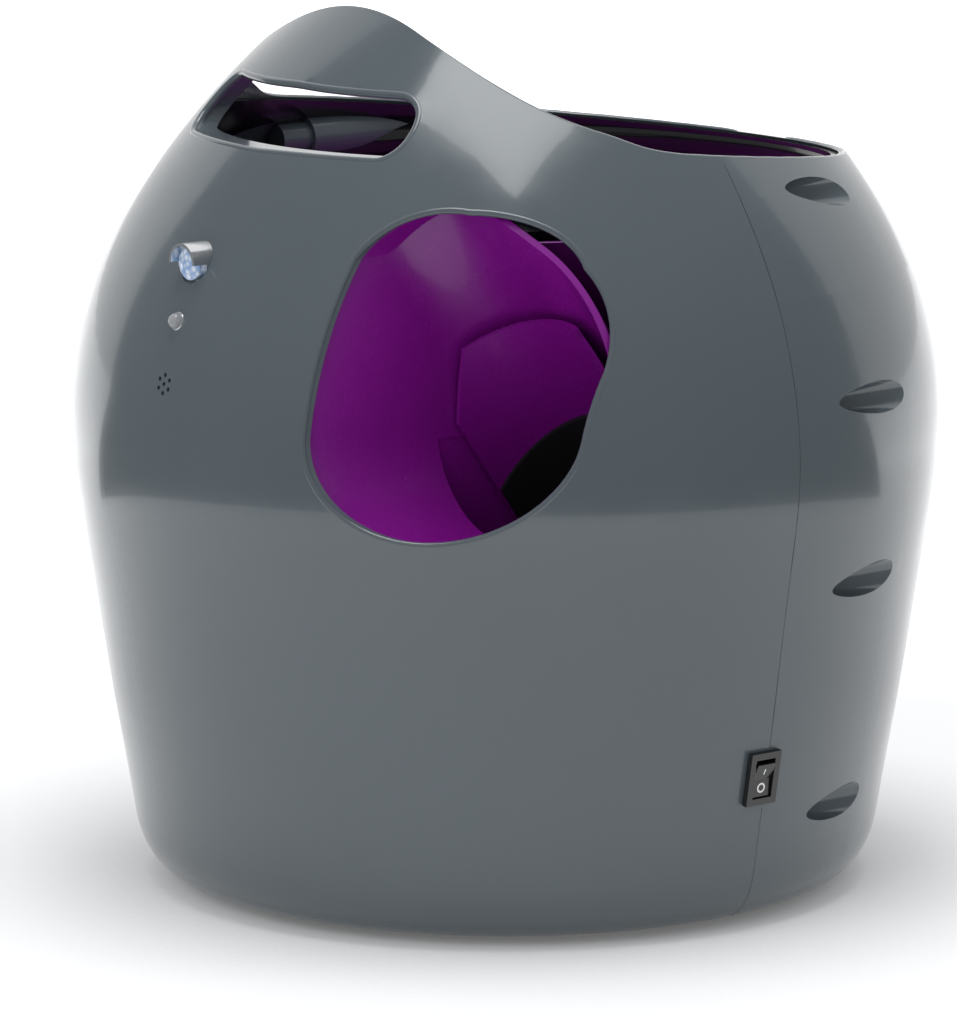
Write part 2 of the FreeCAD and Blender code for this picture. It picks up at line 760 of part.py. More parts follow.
def along_x(shape, x, over, along, turn):
    """Turn a gear made about Z so its axis lies across the tube, at a place there."""
    shape.rotate(V(0, 0, 0), V(0, 0, 1), turn)
    shape.rotate(V(0, 0, 0), V(0, 1, 0), 90)
    shape.translate(V(x, over, along))
    return shape


rack_pinion_r = gear_module * rack_pinion_teeth / 2
wheel_r = wheel_module * wheel_teeth / 2
motor_pinion_r = wheel_module * motor_teeth / 2
rack_line = -(rod_half - gear_module)
axle_over = rack_line - rack_pinion_r
motor_along = gear_s - 9.0
motor_over = axle_over + math.sqrt((wheel_r + motor_pinion_r) ** 2 - 9.0 ** 2)
axle_r = 2.5
wheel_x = -hood_r - 6.5
wheel_width = 4.5
ear_x = 16.0
ear_wall = 3.0
sleeve_r = 5.2


def plunger():
    """Head, rod and rack; the teeth are under the rod."""
    up = V(0, 0, 1)
    head = rod(plunger_r, 12, V(0, 0, plunger_face - 12), up)
    head = head.cut(rod(plunger_r - 2.5, 9, V(0, 0, plunger_face - 12), up))
    bar = box(-rod_half, rod_half, -rod_half, rod_half, rod_tail, plunger_face - 3)
    pitch = math.pi * gear_module
    lean = math.tan(math.radians(20))
    count = int((stroke + 14) / pitch) + 1
    gaps = []
    for index in range(count):
        middle = gear_s + pitch * (index - 1)
        top = pitch / 4 + gear_module * lean + mesh_gap / 2
        low = pitch / 4 - gear_module * 1.2 * lean + mesh_gap / 2
        base = rack_line + gear_module * 1.25
        tip = -rod_half - 0.5
        wide = top + 0.5 * lean
        gaps.append(prism([(-rod_half - 1, tip, middle - wide), (-rod_half - 1, tip, middle + wide),
                           (-rod_half - 1, base, middle + low), (-rod_half - 1, base, middle - low)],
                          (2 * rod_half + 2, 0, 0)))
    return tilted(head.fuse(bar).cut(gaps).removeSplitter())


def plunger_spring():
    """Push spring round the rod, as one wound wire."""
    wire_r = 1.2
    turns = 5
    low = liner_back + wire_r + 0.2
    high = plunger_face - 3 - wire_r - 0.2
    ring_r = 9.6
    pitch = (high - low) / turns
    helix = Part.makeHelix(pitch, high - low, ring_r)
    helix.translate(V(0, 0, low))
    start = V(ring_r, 0, low)
    along = V(0, ring_r * 2 * math.pi, pitch)
    ring = Part.Wire([Part.Circle(start, along, wire_r).toShape()])
    spring = Part.Wire(helix).makePipeShell([ring], True, False)
    return tilted(spring)


def gear_frame():
    """Rear wall of the tube with the ears for the axle and the seat for the motor."""
    up = V(0, 0, 1)
    wall = rod(hood_r, bulkhead, V(0, 0, liner_back - bulkhead), up)
    back = motor_along - motor_r - 3
    top = motor_over + motor_r + 2
    ears = []
    for side in (-1, 1):
        x0 = side * ear_x
        x1 = side * (ear_x + ear_wall)
        ears.append(box(min(x0, x1), max(x0, x1), axle_over - 7, top, back, liner_back - 1))
    whole = wall.fuse(ears)
    hole = rod_half + 0.4
    cuts = [box(-hole, hole, -hole, hole, liner_back - 9, liner_back + 9),
            rod(axle_r + running_gap, 60, V(0, axle_over, gear_s), V(1, 0, 0)),
            rod(sleeve_r + running_gap, 50, V(-50, axle_over, gear_s), V(1, 0, 0)),
            rod(motor_r + 0.1, 100, V(-50, motor_over, motor_along), V(1, 0, 0))]
    return tilted(whole.cut(cuts).removeSplitter())


def motor():
    left = -ear_x - ear_wall - 6
    can = rod(motor_r, motor_length, V(left, motor_over, motor_along), V(1, 0, 0))
    flats = [box(left - 1, left + 80, motor_over + motor_r * 0.82, motor_over + motor_r + 5,
                 motor_along - 20, motor_along + 20)]
    can = can.cut(flats)
    shaft = rod(1.2, left - wheel_x + wheel_width, V(wheel_x - wheel_width / 2, motor_over, motor_along),
                V(1, 0, 0))
    end = rod(5, 3, V(left + motor_length, motor_over, motor_along), V(1, 0, 0))
    return tilted(can.fuse([shaft, end]).removeSplitter())


def motor_pinion():
    gear = involute_gear(wheel_module, motor_teeth, wheel_width + 1, 1.2 + running_gap)
    shape = along_x(gear, wheel_x - wheel_width / 2 - 0.5, 0, 0, 0)
    shape = turned_to(shape, math.degrees(math.atan2(axle_over - motor_over, gear_s - motor_along)),
                      180.0 / motor_teeth)
    shape.translate(V(0, motor_over, motor_along))
    return tilted(shape)


def turned_to(shape, heading, extra):
    """Turn a gear about the X axis so a tooth points at the heading, plus extra."""
    shape.rotate(V(0, 0, 0), V(1, 0, 0), tooth_start(heading) + extra)
    return shape


def tooth_start(heading):
    """A gear from along_x has a tooth along minus Z; this turns it to the heading."""
    return 180.0 - heading


def drive_gear():
    """Large wheel outside the tube and small wheel under the rack, in one piece."""
    heading = math.degrees(math.atan2(motor_over - axle_over, motor_along - gear_s))
    wheel = along_x(involute_gear(wheel_module, wheel_teeth, wheel_width, axle_r + running_gap),
                    wheel_x - wheel_width / 2, 0, 0, 0)
    wheel = turned_to(wheel, heading, 0)
    small = along_x(involute_gear(gear_module, rack_pinion_teeth, gear_width, axle_r + running_gap),
                    -gear_width / 2, 0, 0, 0)
    small = turned_to(small, 90, 0)
    sleeve_end = wheel_x + wheel_width / 2
    sleeve = tube(sleeve_r, axle_r + running_gap, -gear_width / 2 - sleeve_end + 1, V(sleeve_end - 0.5, 0, 0),
                  V(1, 0, 0))
    whole = wheel.fuse([small, sleeve])
    whole.translate(V(0, axle_over, gear_s))
    return tilted(whole.removeSplitter())


def drive_axle():
    left = wheel_x - wheel_width / 2 - 2
    length = ear_x + ear_wall + 2 - left
    return tilted(rod(axle_r, length, V(left, axle_over, gear_s), V(1, 0, 0)))


def follower_height(turn):
    """Height of the follower over the cam axis when the knob has turned by turn."""
    tilt = math.radians(tilt_rest) - turn / knob_ratio
    along = follower_s
    over = -pivot_rise
    pivot = tilted_point(0, pivot_rise, 0)
    z = pivot.z + along * math.sin(tilt) + over * math.cos(tilt)
    return z - follower_r - cam_gap - angle_z


def angle_cam():
    """Snail drum under the follower; its outline is the envelope of the flat pin."""
    last = math.radians(tilt_travel * knob_ratio)
    points = []
    count = 20
    step = 0.001
    for index in range(count + 1):
        turn = last * index / count
        height = follower_height(turn)
        rate = (follower_height(turn + step) - follower_height(turn - step)) / (2 * step)
        angle = math.pi / 2 - turn
        across = V(math.cos(angle), 0, math.sin(angle)) * height
        aside = V(math.sin(angle), 0, -math.cos(angle)) * rate
        points.append(across + aside)
    curve = Part.BSplineCurve()
    curve.interpolate(points)
    notch = V(-cam_low_r * 0.75, 0, cam_low_r * 0.4)
    step_back = Part.LineSegment(points[-1], notch).toShape()
    step_up = Part.LineSegment(notch, points[0]).toShape()
    face = Part.Face(Part.Wire([curve.toShape(), step_back, step_up]))
    drum = face.extrude(V(0, cam_back_y - cam_front_y, 0))
    drum.translate(V(angle_x, cam_front_y, angle_z))
    return drum.cut(rod(shaft_r, 100, V(angle_x, cam_front_y - 20, angle_z), V(0, 1, 0)))


def rear_y(x, z, inset=0.0):
    radius = body_radius(z, inset)
    return math.sqrt(radius ** 2 - x ** 2)


def knob_cup(shell, x, z):
    """The shell with a round recess for a knob and the sleeve of its bush."""
    floor_y = knob_seat_y - 0.6
    outer = rod(knob_r + cup_gap + cup_wall, 60, V(x, floor_y - cup_wall, z), V(0, 1, 0))
    outer = outer.common(body(0))
    hollow = rod(knob_r + cup_gap, 60, V(x, floor_y, z), V(0, 1, 0))
    bore = rod(shaft_r + 1.5, 90, V(x, body_r - 60, z), V(0, 1, 0))
    whole = shell.fuse([outer, bush_holder(x, z)])
    return whole.cut([hollow, bore])


def knob(x, z):
    """Ribbed knob with a pointer ridge, outside the rear shell."""
    y = knob_seat_y
    whole = rod(knob_r, knob_depth, V(x, y, z), V(0, 1, 0))
    grooves = []
    for index in range(18):
        turn = 2 * math.pi * index / 18
        grooves.append(rod(1.4, knob_depth, V(x + (knob_r + 0.4) * math.cos(turn), y + 2,
                                              z + (knob_r + 0.4) * math.sin(turn)), V(0, 1, 0)))
    pointer = box(x - 1, x + 1, y + knob_depth - 1, y + knob_depth + pointer_rise, z, z + knob_r - 2)
    whole = whole.cut(grooves).fuse(pointer)
    return whole.cut(rod(shaft_r, 6, V(x, y, z), V(0, 1, 0))).removeSplitter()


def angle_shaft():
    start = cam_front_y - 10
    length = knob_seat_y + 6 - start
    return rod(shaft_r, length, V(angle_x, start, angle_z), V(0, 1, 0))


def cam_bracket():
    """Post on the base plate that carries the front end of the angle shaft."""
    y0 = cam_front_y - 9.0
    y1 = cam_front_y - 5.0
    low = stand + base_thick
    post = box(angle_x - bracket_half, angle_x + bracket_half, y0, y1, low + 12, angle_z)
    eye = rod(bracket_half, y1 - y0, V(angle_x, y0, angle_z), V(0, 1, 0))
    peg = rod(3.1, 14, V(angle_x, cam_front_y - 7.0, low), V(0, 0, 1))
    whole = post.fuse([eye, peg])
    return whole.cut(rod(shaft_r + running_gap, 20, V(angle_x, y0 - 5, angle_z), V(0, 1, 0)))


def rear_bush(x, z):
    """Flanged bush that holds a knob shaft in the rear shell."""
    outer_y = rear_y(abs(x) + shaft_r + 1.5, z)
    inside = rear_y(abs(x) - shaft_r - 5, z, shell_wall) + 0.2
    back = min(outer_y, inside) - 14
    stop = knob_seat_y - 0.6
    whole = rod(shaft_r + 1.45, stop - back, V(x, back, z), V(0, 1, 0))
    return whole.cut(rod(shaft_r + running_gap, stop - back, V(x, back, z), V(0, 1, 0)))


def holder_y(x, z):
    return rear_y(abs(x) + 7, z) - 20


def bush_holder(x, z):
    """Sleeve boss on the inside of the rear shell."""
    start = holder_y(x, z)
    return tube(7.0, shaft_r + 1.5, 40, V(x, start, z), V(0, 1, 0)).common(body(1.5))


def distance_selector():
    """Rotary switch behind the distance knob."""
    y = holder_y(distance_x, distance_z)
    can = box(distance_x - 9, distance_x + 9, y - 12, y, distance_z - 9, distance_z + 9)
    return can.cut(rod(shaft_r + running_gap, 8, V(distance_x, y - 6, distance_z), V(0, 1, 0)))


def distance_shaft():
    y = holder_y(distance_x, distance_z) - 6
    length = knob_seat_y + 6 - y
    return rod(shaft_r, length, V(distance_x, y, distance_z), V(0, 1, 0))


def sensor_hood():
    """Bright tube round the motion sensor; only its upper half stands out as a hood."""
    wall_y = -body_radius(sensor_z)
    y = wall_y - sensor_out
    back = sensor_flange_y()
    whole = tube(sensor_r - 0.05, sensor_r - sensor_wall, back - y, V(0, y, sensor_z), V(0, 1, 0))
    half = sensor_r + 1
    lower_half = box(-half, half, y - 1, wall_y - 1.0, sensor_z - half, sensor_z)
    flange = tube(sensor_r + 2.5, sensor_r - sensor_wall, 1.6, V(0, back, sensor_z), V(0, 1, 0))
    return whole.cut(lower_half).fuse(flange).removeSplitter()


def sensor_lens():
    """Shallow domed lens inside the hood."""
    y = -body_radius(sensor_z) - lens_out
    bore = sensor_r - sensor_wall - 0.05
    dome_r = bore * 2.2
    dome = Part.makeSphere(dome_r, V(0, y + dome_r - 1.4, sensor_z))
    barrel = rod(bore, 12, V(0, y - 3, sensor_z), V(0, 1, 0))
    return dome.common(barrel).removeSplitter()


def led_lens():
    y = -body_radius(lamp_z)
    stem = rod(lamp_r - 0.05, 10, V(0, y - 0.4, lamp_z), V(0, 1, 0))
    dome = Part.makeSphere(lamp_r - 0.05, V(0, y - 0.4, lamp_z))
    collar = rod(lamp_r + 1, 1.2, V(0, y + 9.6, lamp_z), V(0, 1, 0))
    return stem.fuse([dome, collar]).removeSplitter()


def control_board():
    """Circuit board behind the front sensor with its larger components."""
    y = board_y + board_thick
    low = board_low_z
    plate = box(-board_half, board_half, board_y, y, low, board_high_z)
    chips = [box(-20, -4, y, y + 2.4, low + 42, low + 58),
             box(8, 22, y, y + 9.4, low + 22, low + 34),
             rod(5, 14, V(-22, y, low + 20), V(0, 1, 0)),
             rod(4, 11, V(24, y, low + 72), V(0, 1, 0)),
             box(-25, 25, y, y + 6.4, low + 4, low + 12)]
    holes = [rod(screw_r + 0.05, 6, V(x, board_y - 2, z), V(0, 1, 0)) for x, z in board_posts()]
    return plate.fuse(chips).cut(holes).removeSplitter()


def board_posts():
    x = board_half - 5.0
    low = board_low_z + 5.0
    high = board_high_z - 7.0
    return [(-x, low), (x, low), (-x, high), (x, high)]


def speaker():
    """Small round speaker clamped behind its holes."""
    y = speaker_y()
    can = rod(speaker_r, 6, V(0, y, speaker_z), V(0, 1, 0))
    magnet = rod(speaker_r * 0.55, 4, V(0, y + 6, speaker_z), V(0, 1, 0))
    return can.fuse(magnet).removeSplitter()


def on_switch_face(shape):
    """From switch axes, x outwards, z up along the wall, to the body."""
    rise = 8.0
    lean = (body_radius(switch_z + rise) - body_radius(switch_z - rise)) / (2 * rise)
    shape.rotate(V(0, 0, 0), V(0, 1, 0), math.degrees(math.atan(lean)))
    shape.translate(V(body_radius(switch_z), switch_y, switch_z))
    return shape


def switch_housing():
    """Bezel and shallow body of the power switch, across the seam."""
    half_w = switch_width / 2
    half_h = switch_height / 2
    bezel = box(0.1, 2.2, -half_w, half_w, -half_h, half_h)
    core = box(-switch_depth, 0.5, 1.2 - half_w, half_w - 1.2, 1.2 - half_h, half_h - 1.2)
    tabs = [box(-switch_depth - 3, -switch_depth + 1, -1.5, 1.5, 5 * i - 0.4, 5 * i + 0.4)
            for i in (-1, 0, 1)]
    window = box(1.5 - switch_depth, 5, switch_frame - half_w, half_w - switch_frame,
                 switch_frame - half_h, half_h - switch_frame)
    pin = rod(1.0, 2 * half_w - 3, V(rocker_pin, 1.5 - half_w, 0), V(0, 1, 0))
    whole = bezel.fuse([core] + tabs).cut(window).fuse(pin)
    return on_switch_face(whole.removeSplitter())


def switch_rocker():
    """Rocker with its lower half pressed in, on a pin across it."""
    half_w = switch_width / 2 - switch_frame - 0.3
    half_h = switch_height / 2 - switch_frame - 0.95
    points = [(-1.6, -half_h), (rocker_out, -half_h), (rocker_waist, 0), (rocker_out, half_h),
              (-1.6, half_h), (-4.2, 2.2), (-4.2, -2.2)]
    shape = prism([(x, -half_w, z) for x, z in points], (0, 2 * half_w, 0))
    shape = shape.cut(rod(1.0 + running_gap, 2 * half_w, V(rocker_pin, -half_w, 0), V(0, 1, 0)))
    shape.rotate(V(rocker_pin, 0, 0), V(0, 1, 0), rocker_travel / 2)
    return on_switch_face(shape)


def dc_jack():
    """Round inlet for the power adapter."""
    y = rear_y(abs(jack_x), jack_z)
    body_part = rod(jack_bore_r + 2.5, 18, V(jack_x, y - 16, jack_z), V(0, 1, 0))
    flange = rod(jack_bore_r + 5, 1.5, V(jack_x, y + 4.3, jack_z), V(0, 1, 0))
    neck = rod(jack_bore_r + 2.5, 5, V(jack_x, y, jack_z), V(0, 1, 0))
    whole = body_part.fuse([flange, neck])
    return whole.cut(rod(jack_bore_r, jack_depth, V(jack_x, y + 5.8 - jack_depth, jack_z), V(0, 1, 0)))


def screw(place, direction, length):
    head = rod(head_r, head_height, place, direction)
    shank = rod(screw_r, length, place + direction * head_height, direction)
    drive = rod(1.2, 1.4, place, direction)
    return head.fuse(shank).cut(drive).removeSplitter()


def shell_screws():
    return [screw(V(x, pocket_floor_y + head_height, z), V(0, -1, 0), pocket_floor_y + 9)
            for x, z in boss_places()]


def base_screws():
    return [screw(V(x, y, stand), V(0, 0, 1), base_thick - head_height + 11)
            for x, y, a in base_posts()]


def board_screws():
    return [screw(V(x, board_y + board_thick + head_height, z), V(0, -1, 0), 8.6) for x, z in board_posts()]


def cowl_screws():
    shapes = []
    for x, z in cowl_posts():
        y = cowl_tab_y if x == launch_x else cowl_side_tab_y
        shapes.append(screw(V(x, y + tab_thick + head_height, z), V(0, -1, 0), 9.4))
    return shapes


def ball_switch():
    """Small switch beside the neck of the hopper, on a bracket under the bowl."""
    x = neck_x - neck_r - hopper_wall - 0.9
    z = neck_z - neck_drop
    can = box(x - 8, x, neck_y - 10, neck_y + 10, z + 0.2, z + 6)
    ears = [box(x - 5, x - 3, neck_y + side - 1.2, neck_y + side + 1.2, z - 4, z + 1)
            for side in (-8.8, 8.8)]
    pin = rod(0.8, 20, V(x - 4, neck_y - 10, z - 2.4), V(0, 1, 0))
    return can.fuse(ears + [pin]).removeSplitter()


def switch_lever():
    """Lever of the ball switch; its tip reaches under the neck."""
    x = neck_x - neck_r - hopper_wall - 0.9
    z = neck_z - neck_drop
    arm = box(x - 5.2, x + 9, neck_y - 6, neck_y + 6, z - 3.6, z - 2.8)
    eye = rod(1.8, 12, V(x - 4, neck_y - 6, z - 2.4), V(0, 1, 0))
    tip = rod(1.6, 12, V(x + 9, neck_y - 6, z - 3.2), V(0, 1, 0))
    bore = rod(0.8 + running_gap, 12, V(x - 4, neck_y - 6, z - 2.4), V(0, 1, 0))
    return arm.fuse([eye, tip]).cut(bore).removeSplitter()


os.makedirs("parts", exist_ok=True)

save("front_shell", shell_half(True))
save("rear_shell", knob_cup(knob_cup(shell_half(False), angle_x, angle_z), distance_x, distance_z))
save("base_plate", base_plate())
save("battery_door", battery_door())
save("battery_tray", battery_tray())
save("battery_contacts", battery_contacts())
save("feet", feet())
save("hopper", hopper())
save("hopper_rim", hopper_rim())
save("port_cowl", port_cowl())
save("launch_barrel", launch_barrel())
save("launch_chamber", launch_chamber())
save("plunger", plunger())
save("plunger_spring", plunger_spring())
save("gear_frame", gear_frame())
save("motor", motor())
save("motor_pinion", motor_pinion())
save("drive_gear", drive_gear())
save("drive_axle", drive_axle())
save("angle_cam", angle_cam())
save("angle_shaft", angle_shaft())
save("angle_knob", knob(angle_x, angle_z))
save("angle_bush", rear_bush(angle_x, angle_z))
save("cam_bracket", cam_bracket())
save("distance_knob", knob(distance_x, distance_z))
save("distance_shaft", distance_shaft())
save("distance_bush", rear_bush(distance_x, distance_z))
save("distance_selector", distance_selector())
save("sensor_hood", sensor_hood())
save("sensor_lens", sensor_lens())
save("led_lens", led_lens())
save("control_board", control_board())
save("speaker", speaker())
save("switch_housing", switch_housing())
save("switch_rocker", switch_rocker())
save("dc_jack", dc_jack())
save("shell_screws", shell_screws())
save("base_screws", base_screws())
save("cowl_screws", cowl_screws())
save("board_screws", board_screws())
save("ball_switch", ball_switch())
save("switch_lever", switch_lever())
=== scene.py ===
import math

import bmesh
import bpy
from mathutils import Matrix, Vector
from mathutils.bvhtree import BVHTree


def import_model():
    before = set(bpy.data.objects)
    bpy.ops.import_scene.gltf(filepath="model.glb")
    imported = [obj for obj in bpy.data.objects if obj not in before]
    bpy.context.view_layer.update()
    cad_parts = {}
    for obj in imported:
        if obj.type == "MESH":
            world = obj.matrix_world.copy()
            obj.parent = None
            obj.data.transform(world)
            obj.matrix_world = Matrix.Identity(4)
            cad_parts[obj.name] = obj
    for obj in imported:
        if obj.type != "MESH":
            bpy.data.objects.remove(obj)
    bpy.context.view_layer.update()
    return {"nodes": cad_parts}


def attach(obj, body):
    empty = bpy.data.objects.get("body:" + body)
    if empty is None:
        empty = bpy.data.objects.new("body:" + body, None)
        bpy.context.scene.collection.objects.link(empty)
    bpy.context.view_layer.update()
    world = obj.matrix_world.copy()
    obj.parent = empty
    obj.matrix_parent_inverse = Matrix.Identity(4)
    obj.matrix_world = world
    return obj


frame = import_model()
NODES = frame["nodes"]

# Places that the source names too, in metres
BODY_R = 0.1668
WALL = 0.003
MOUTH_Y = -0.072
PORT_X = 0.105
PORT_HALF = 0.038
PORT_LOW_Z = 0.195
PORT_TOP_Z = 0.2734
PORT_MIDDLE_Z = 0.212
SLOT_HALF = 0.0604
SLOT_LOW_Z = 0.290
SLOT_HIGH_Z = 0.3122
SLOT_LOW_CORNER = 0.007
SLOT_HIGH_CORNER = 0.0149
SENSOR_Z = 0.250
LAMP_Z = 0.229
SWITCH = (-0.003, 0.0611)
SWITCH_LOW_Z = 0.0503
SWITCH_HIGH_Z = 0.0719
ROCKER_PIN = -0.0026
ROCKER_TURN = math.radians(7.5)
# Points of the rocker's face in switch axes, out and up, before it is turned about its pin
ROCKER_WAIST = (0.001, 0)
ROCKER_TOP = (0.0022, 0.0067)
ROCKER_BOTTOM = (0.0022, -0.0067)
FLOOR_Z = 0.0045
SEAM_TOP_Z = 0.2868


# Materials

def shader(name, colour, rough, metal=0.0, coat=0.0, coat_rough=0.05, ior=1.5):
    mat = bpy.data.materials.new(name)
    mat.use_nodes = True
    tree = mat.node_tree
    bsdf = tree.nodes["Principled BSDF"]
    bsdf.inputs["Base Color"].default_value = (*colour, 1)
    bsdf.inputs["Roughness"].default_value = rough
    bsdf.inputs["Metallic"].default_value = metal
    bsdf.inputs["Coat Weight"].default_value = coat
    bsdf.inputs["Coat Roughness"].default_value = coat_rough
    bsdf.inputs["IOR"].default_value = ior
    return mat, tree, bsdf


def object_place(tree, scale=(1, 1, 1)):
    place = tree.nodes.new("ShaderNodeTexCoord")
    mapping = tree.nodes.new("ShaderNodeMapping")
    mapping.inputs["Scale"].default_value = scale
    tree.links.new(place.outputs["Object"], mapping.inputs["Vector"])
    return mapping.outputs["Vector"]


def noise(tree, place, size, detail=3.0, rough=0.5):
    node = tree.nodes.new("ShaderNodeTexNoise")
    node.inputs["Scale"].default_value = size
    node.inputs["Detail"].default_value = detail
    node.inputs["Roughness"].default_value = rough
    tree.links.new(place, node.inputs["Vector"])
    return node.outputs["Fac"]


def between(tree, value, low, high, from_low=0.3, from_high=0.7):
    node = tree.nodes.new("ShaderNodeMapRange")
    node.inputs["From Min"].default_value = from_low
    node.inputs["From Max"].default_value = from_high
    node.inputs["To Min"].default_value = low
    node.inputs["To Max"].default_value = high
    tree.links.new(value, node.inputs["Value"])
    return node.outputs["Result"]


def tint(tree, value, dark, light):
    node = tree.nodes.new("ShaderNodeMix")
    node.data_type = "RGBA"
    node.inputs["A"].default_value = (*dark, 1)
    node.inputs["B"].default_value = (*light, 1)
    tree.links.new(value, node.inputs["Factor"])
    return node.outputs["Result"]


def bump(tree, bsdf, value, depth, strength=1.0):
    node = tree.nodes.new("ShaderNodeBump")
    node.inputs["Distance"].default_value = depth
    node.inputs["Strength"].default_value = strength
    tree.links.new(value, node.inputs["Height"])
    tree.links.new(node.outputs["Normal"], bsdf.inputs["Normal"])


def moulded(name, colour, rough, spread=0.06, grain=900.0, depth=0.00002, wave=0.0, coat=0.0):
    """Moulded plastic: slow colour drift, uneven gloss and a fine surface texture."""
    mat, tree, bsdf = shader(name, colour, rough, coat=coat)
    place = object_place(tree)
    drift = between(tree, noise(tree, place, 9.0, 2.0), 0, 1)
    dark = tuple(c * (1 - spread) for c in colour)
    light = tuple(c * (1 + spread) for c in colour)
    tree.links.new(tint(tree, drift, dark, light), bsdf.inputs["Base Color"])
    smear = between(tree, noise(tree, place, 42.0, 4.0, 0.6), rough * 0.85, rough * 1.2)
    tree.links.new(smear, bsdf.inputs["Roughness"])
    fine = noise(tree, place, grain, 2.0)
    if wave:
        broad = noise(tree, place, 70.0, 1.0)
        add = tree.nodes.new("ShaderNodeMath")
        add.operation = "MULTIPLY_ADD"
        add.inputs[1].default_value = wave
        tree.links.new(broad, add.inputs[0])
        tree.links.new(fine, add.inputs[2])
        fine = add.outputs["Value"]
    bump(tree, bsdf, fine, depth)
    return mat


def metal(name, colour, rough, stretch=(1, 1, 1), size=400.0, depth=0.00002):
    mat, tree, bsdf = shader(name, colour, rough, metal=1.0)
    place = object_place(tree, stretch)
    lines = noise(tree, place, size, 3.0)
    tree.links.new(between(tree, lines, rough * 0.7, rough * 1.4), bsdf.inputs["Roughness"])
    bump(tree, bsdf, lines, depth)
    return mat


def clear(name, colour, rough, through):
    mat, tree, bsdf = shader(name, colour, rough, ior=1.49)
    bsdf.inputs["Transmission Weight"].default_value = through
    place = object_place(tree)
    bump(tree, bsdf, noise(tree, place, 500.0, 1.0), 0.00001)
    return mat


def faceted(name, dark, light):
    """Milky sensor lens with small facets."""
    mat, tree, bsdf = shader(name, light, 0.12, ior=1.49)
    bsdf.inputs["Transmission Weight"].default_value = 0.15
    place = object_place(tree)
    cells = tree.nodes.new("ShaderNodeTexVoronoi")
    cells.inputs["Scale"].default_value = 420.0
    tree.links.new(place, cells.inputs["Vector"])
    spots = between(tree, cells.outputs["Distance"], 0, 1, 0.15, 0.65)
    tree.links.new(tint(tree, spots, light, dark), bsdf.inputs["Base Color"])
    bump(tree, bsdf, spots, 0.0002)
    return mat


def board(name):
    """Green lacquer over copper tracks."""
    mat, tree, bsdf = shader(name, (0.02, 0.12, 0.05), 0.35)
    place = object_place(tree)
    cells = tree.nodes.new("ShaderNodeTexVoronoi")
    cells.distance = "CHEBYCHEV"
    cells.inputs["Scale"].default_value = 180.0
    tree.links.new(place, cells.inputs["Vector"])
    lines = between(tree, cells.outputs["Distance"], 0, 1, 0.42, 0.5)
    tree.links.new(tint(tree, lines, (0.012, 0.085, 0.035), (0.04, 0.2, 0.08)),
                   bsdf.inputs["Base Color"])
    bump(tree, bsdf, lines, 0.00004)
    return mat


GREY = moulded("grey shell", (0.080, 0.099, 0.112), 0.17, 0.04, 1300.0, 0.000006, 6.0, 0.35)
PURPLE = moulded("purple", (0.19, 0.004, 0.22), 0.27, 0.05, 1100.0, 0.000012, 3.0, 0.2)
BRIGHT_PURPLE = moulded("hopper purple", (0.165, 0.006, 0.2), 0.3, 0.05, 1100.0, 0.000012, 3.0)
BLACK = moulded("satin black", (0.011, 0.011, 0.012), 0.42, 0.15, 1500.0, 0.00003)
GLOSS_BLACK = moulded("gloss black", (0.007, 0.007, 0.008), 0.16, 0.1, 900.0, 0.00001, 0.0, 0.4)
RUBBER = moulded("rubber", (0.019, 0.019, 0.02), 0.75, 0.2, 1900.0, 0.00006)
ACETAL = moulded("acetal", (0.72, 0.71, 0.66), 0.38, 0.04, 1000.0, 0.00002)
SILVER = metal("plated", (0.72, 0.73, 0.75), 0.13, (1, 1, 1), 260.0, 0.00001)
STEEL = metal("zinc", (0.5, 0.5, 0.51), 0.34, (1, 1, 6), 500.0, 0.00003)
LENS = faceted("lens", (0.3, 0.45, 0.72), (0.86, 0.92, 1.0))
CLEAR = clear("lamp lens", (0.93, 0.95, 0.98), 0.06, 0.75)
BOARD = board("circuit board")
WHITE = moulded("mark white", (0.83, 0.83, 0.83), 0.5, 0.03, 900.0, 0.00001)
SEAM = moulded("seam shade", (0.028, 0.034, 0.038), 0.5, 0.1, 900.0, 0.00001)
PALE_PAPER = moulded("cone", (0.05, 0.045, 0.04), 0.8, 0.2, 700.0, 0.00006)

BY_SLOT = {"shell_grey": GREY, "purple": PURPLE, "black": BLACK, "black_gloss": GLOSS_BLACK,
           "silver": SILVER, "lens_blue": LENS, "lens_clear": CLEAR, "rubber": RUBBER,
           "steel": STEEL, "board_green": BOARD, "gear_white": ACETAL}
BY_NODE = {"hopper": BRIGHT_PURPLE, "speaker": PALE_PAPER}


def dress(node):
    obj = NODES[node]
    for held in obj.material_slots:
        name = held.material.name.split(".")[0] if held.material else ""
        held.material = BY_NODE.get(node) or BY_SLOT.get(name, BLACK)
    for face in obj.data.polygons:
        face.use_smooth = True


# The outer surface of the shell, read from its mesh

SHELL = BVHTree.FromObject(NODES["front_shell"], bpy.context.evaluated_depsgraph_get())
REAR = BVHTree.FromObject(NODES["rear_shell"], bpy.context.evaluated_depsgraph_get())


def radius_at(z):
    for turn in (205, 228, 235, 270, 262, 250, 180):
        out = Vector((math.cos(math.radians(turn)), math.sin(math.radians(turn)), 0))
        hit, normal = SHELL.ray_cast(out * 0.3 + Vector((0, 0, z)), -out)[:2]
        if hit and hit.dot(out) > 0.03 and normal.dot(out) > 0:
            return math.hypot(hit.x, hit.y)
    raise ValueError("no wall at %.4f" % z)


HEIGHTS = [0.0035 + 0.001 * step for step in range(335)]
RADII = [radius_at(z) for z in HEIGHTS]


def body_radius(z):
    place = (z - HEIGHTS[0]) / 0.001
    index = max(0, min(len(RADII) - 2, int(place)))
    part = place - index
    return RADII[index] * (1 - part) + RADII[index + 1] * part


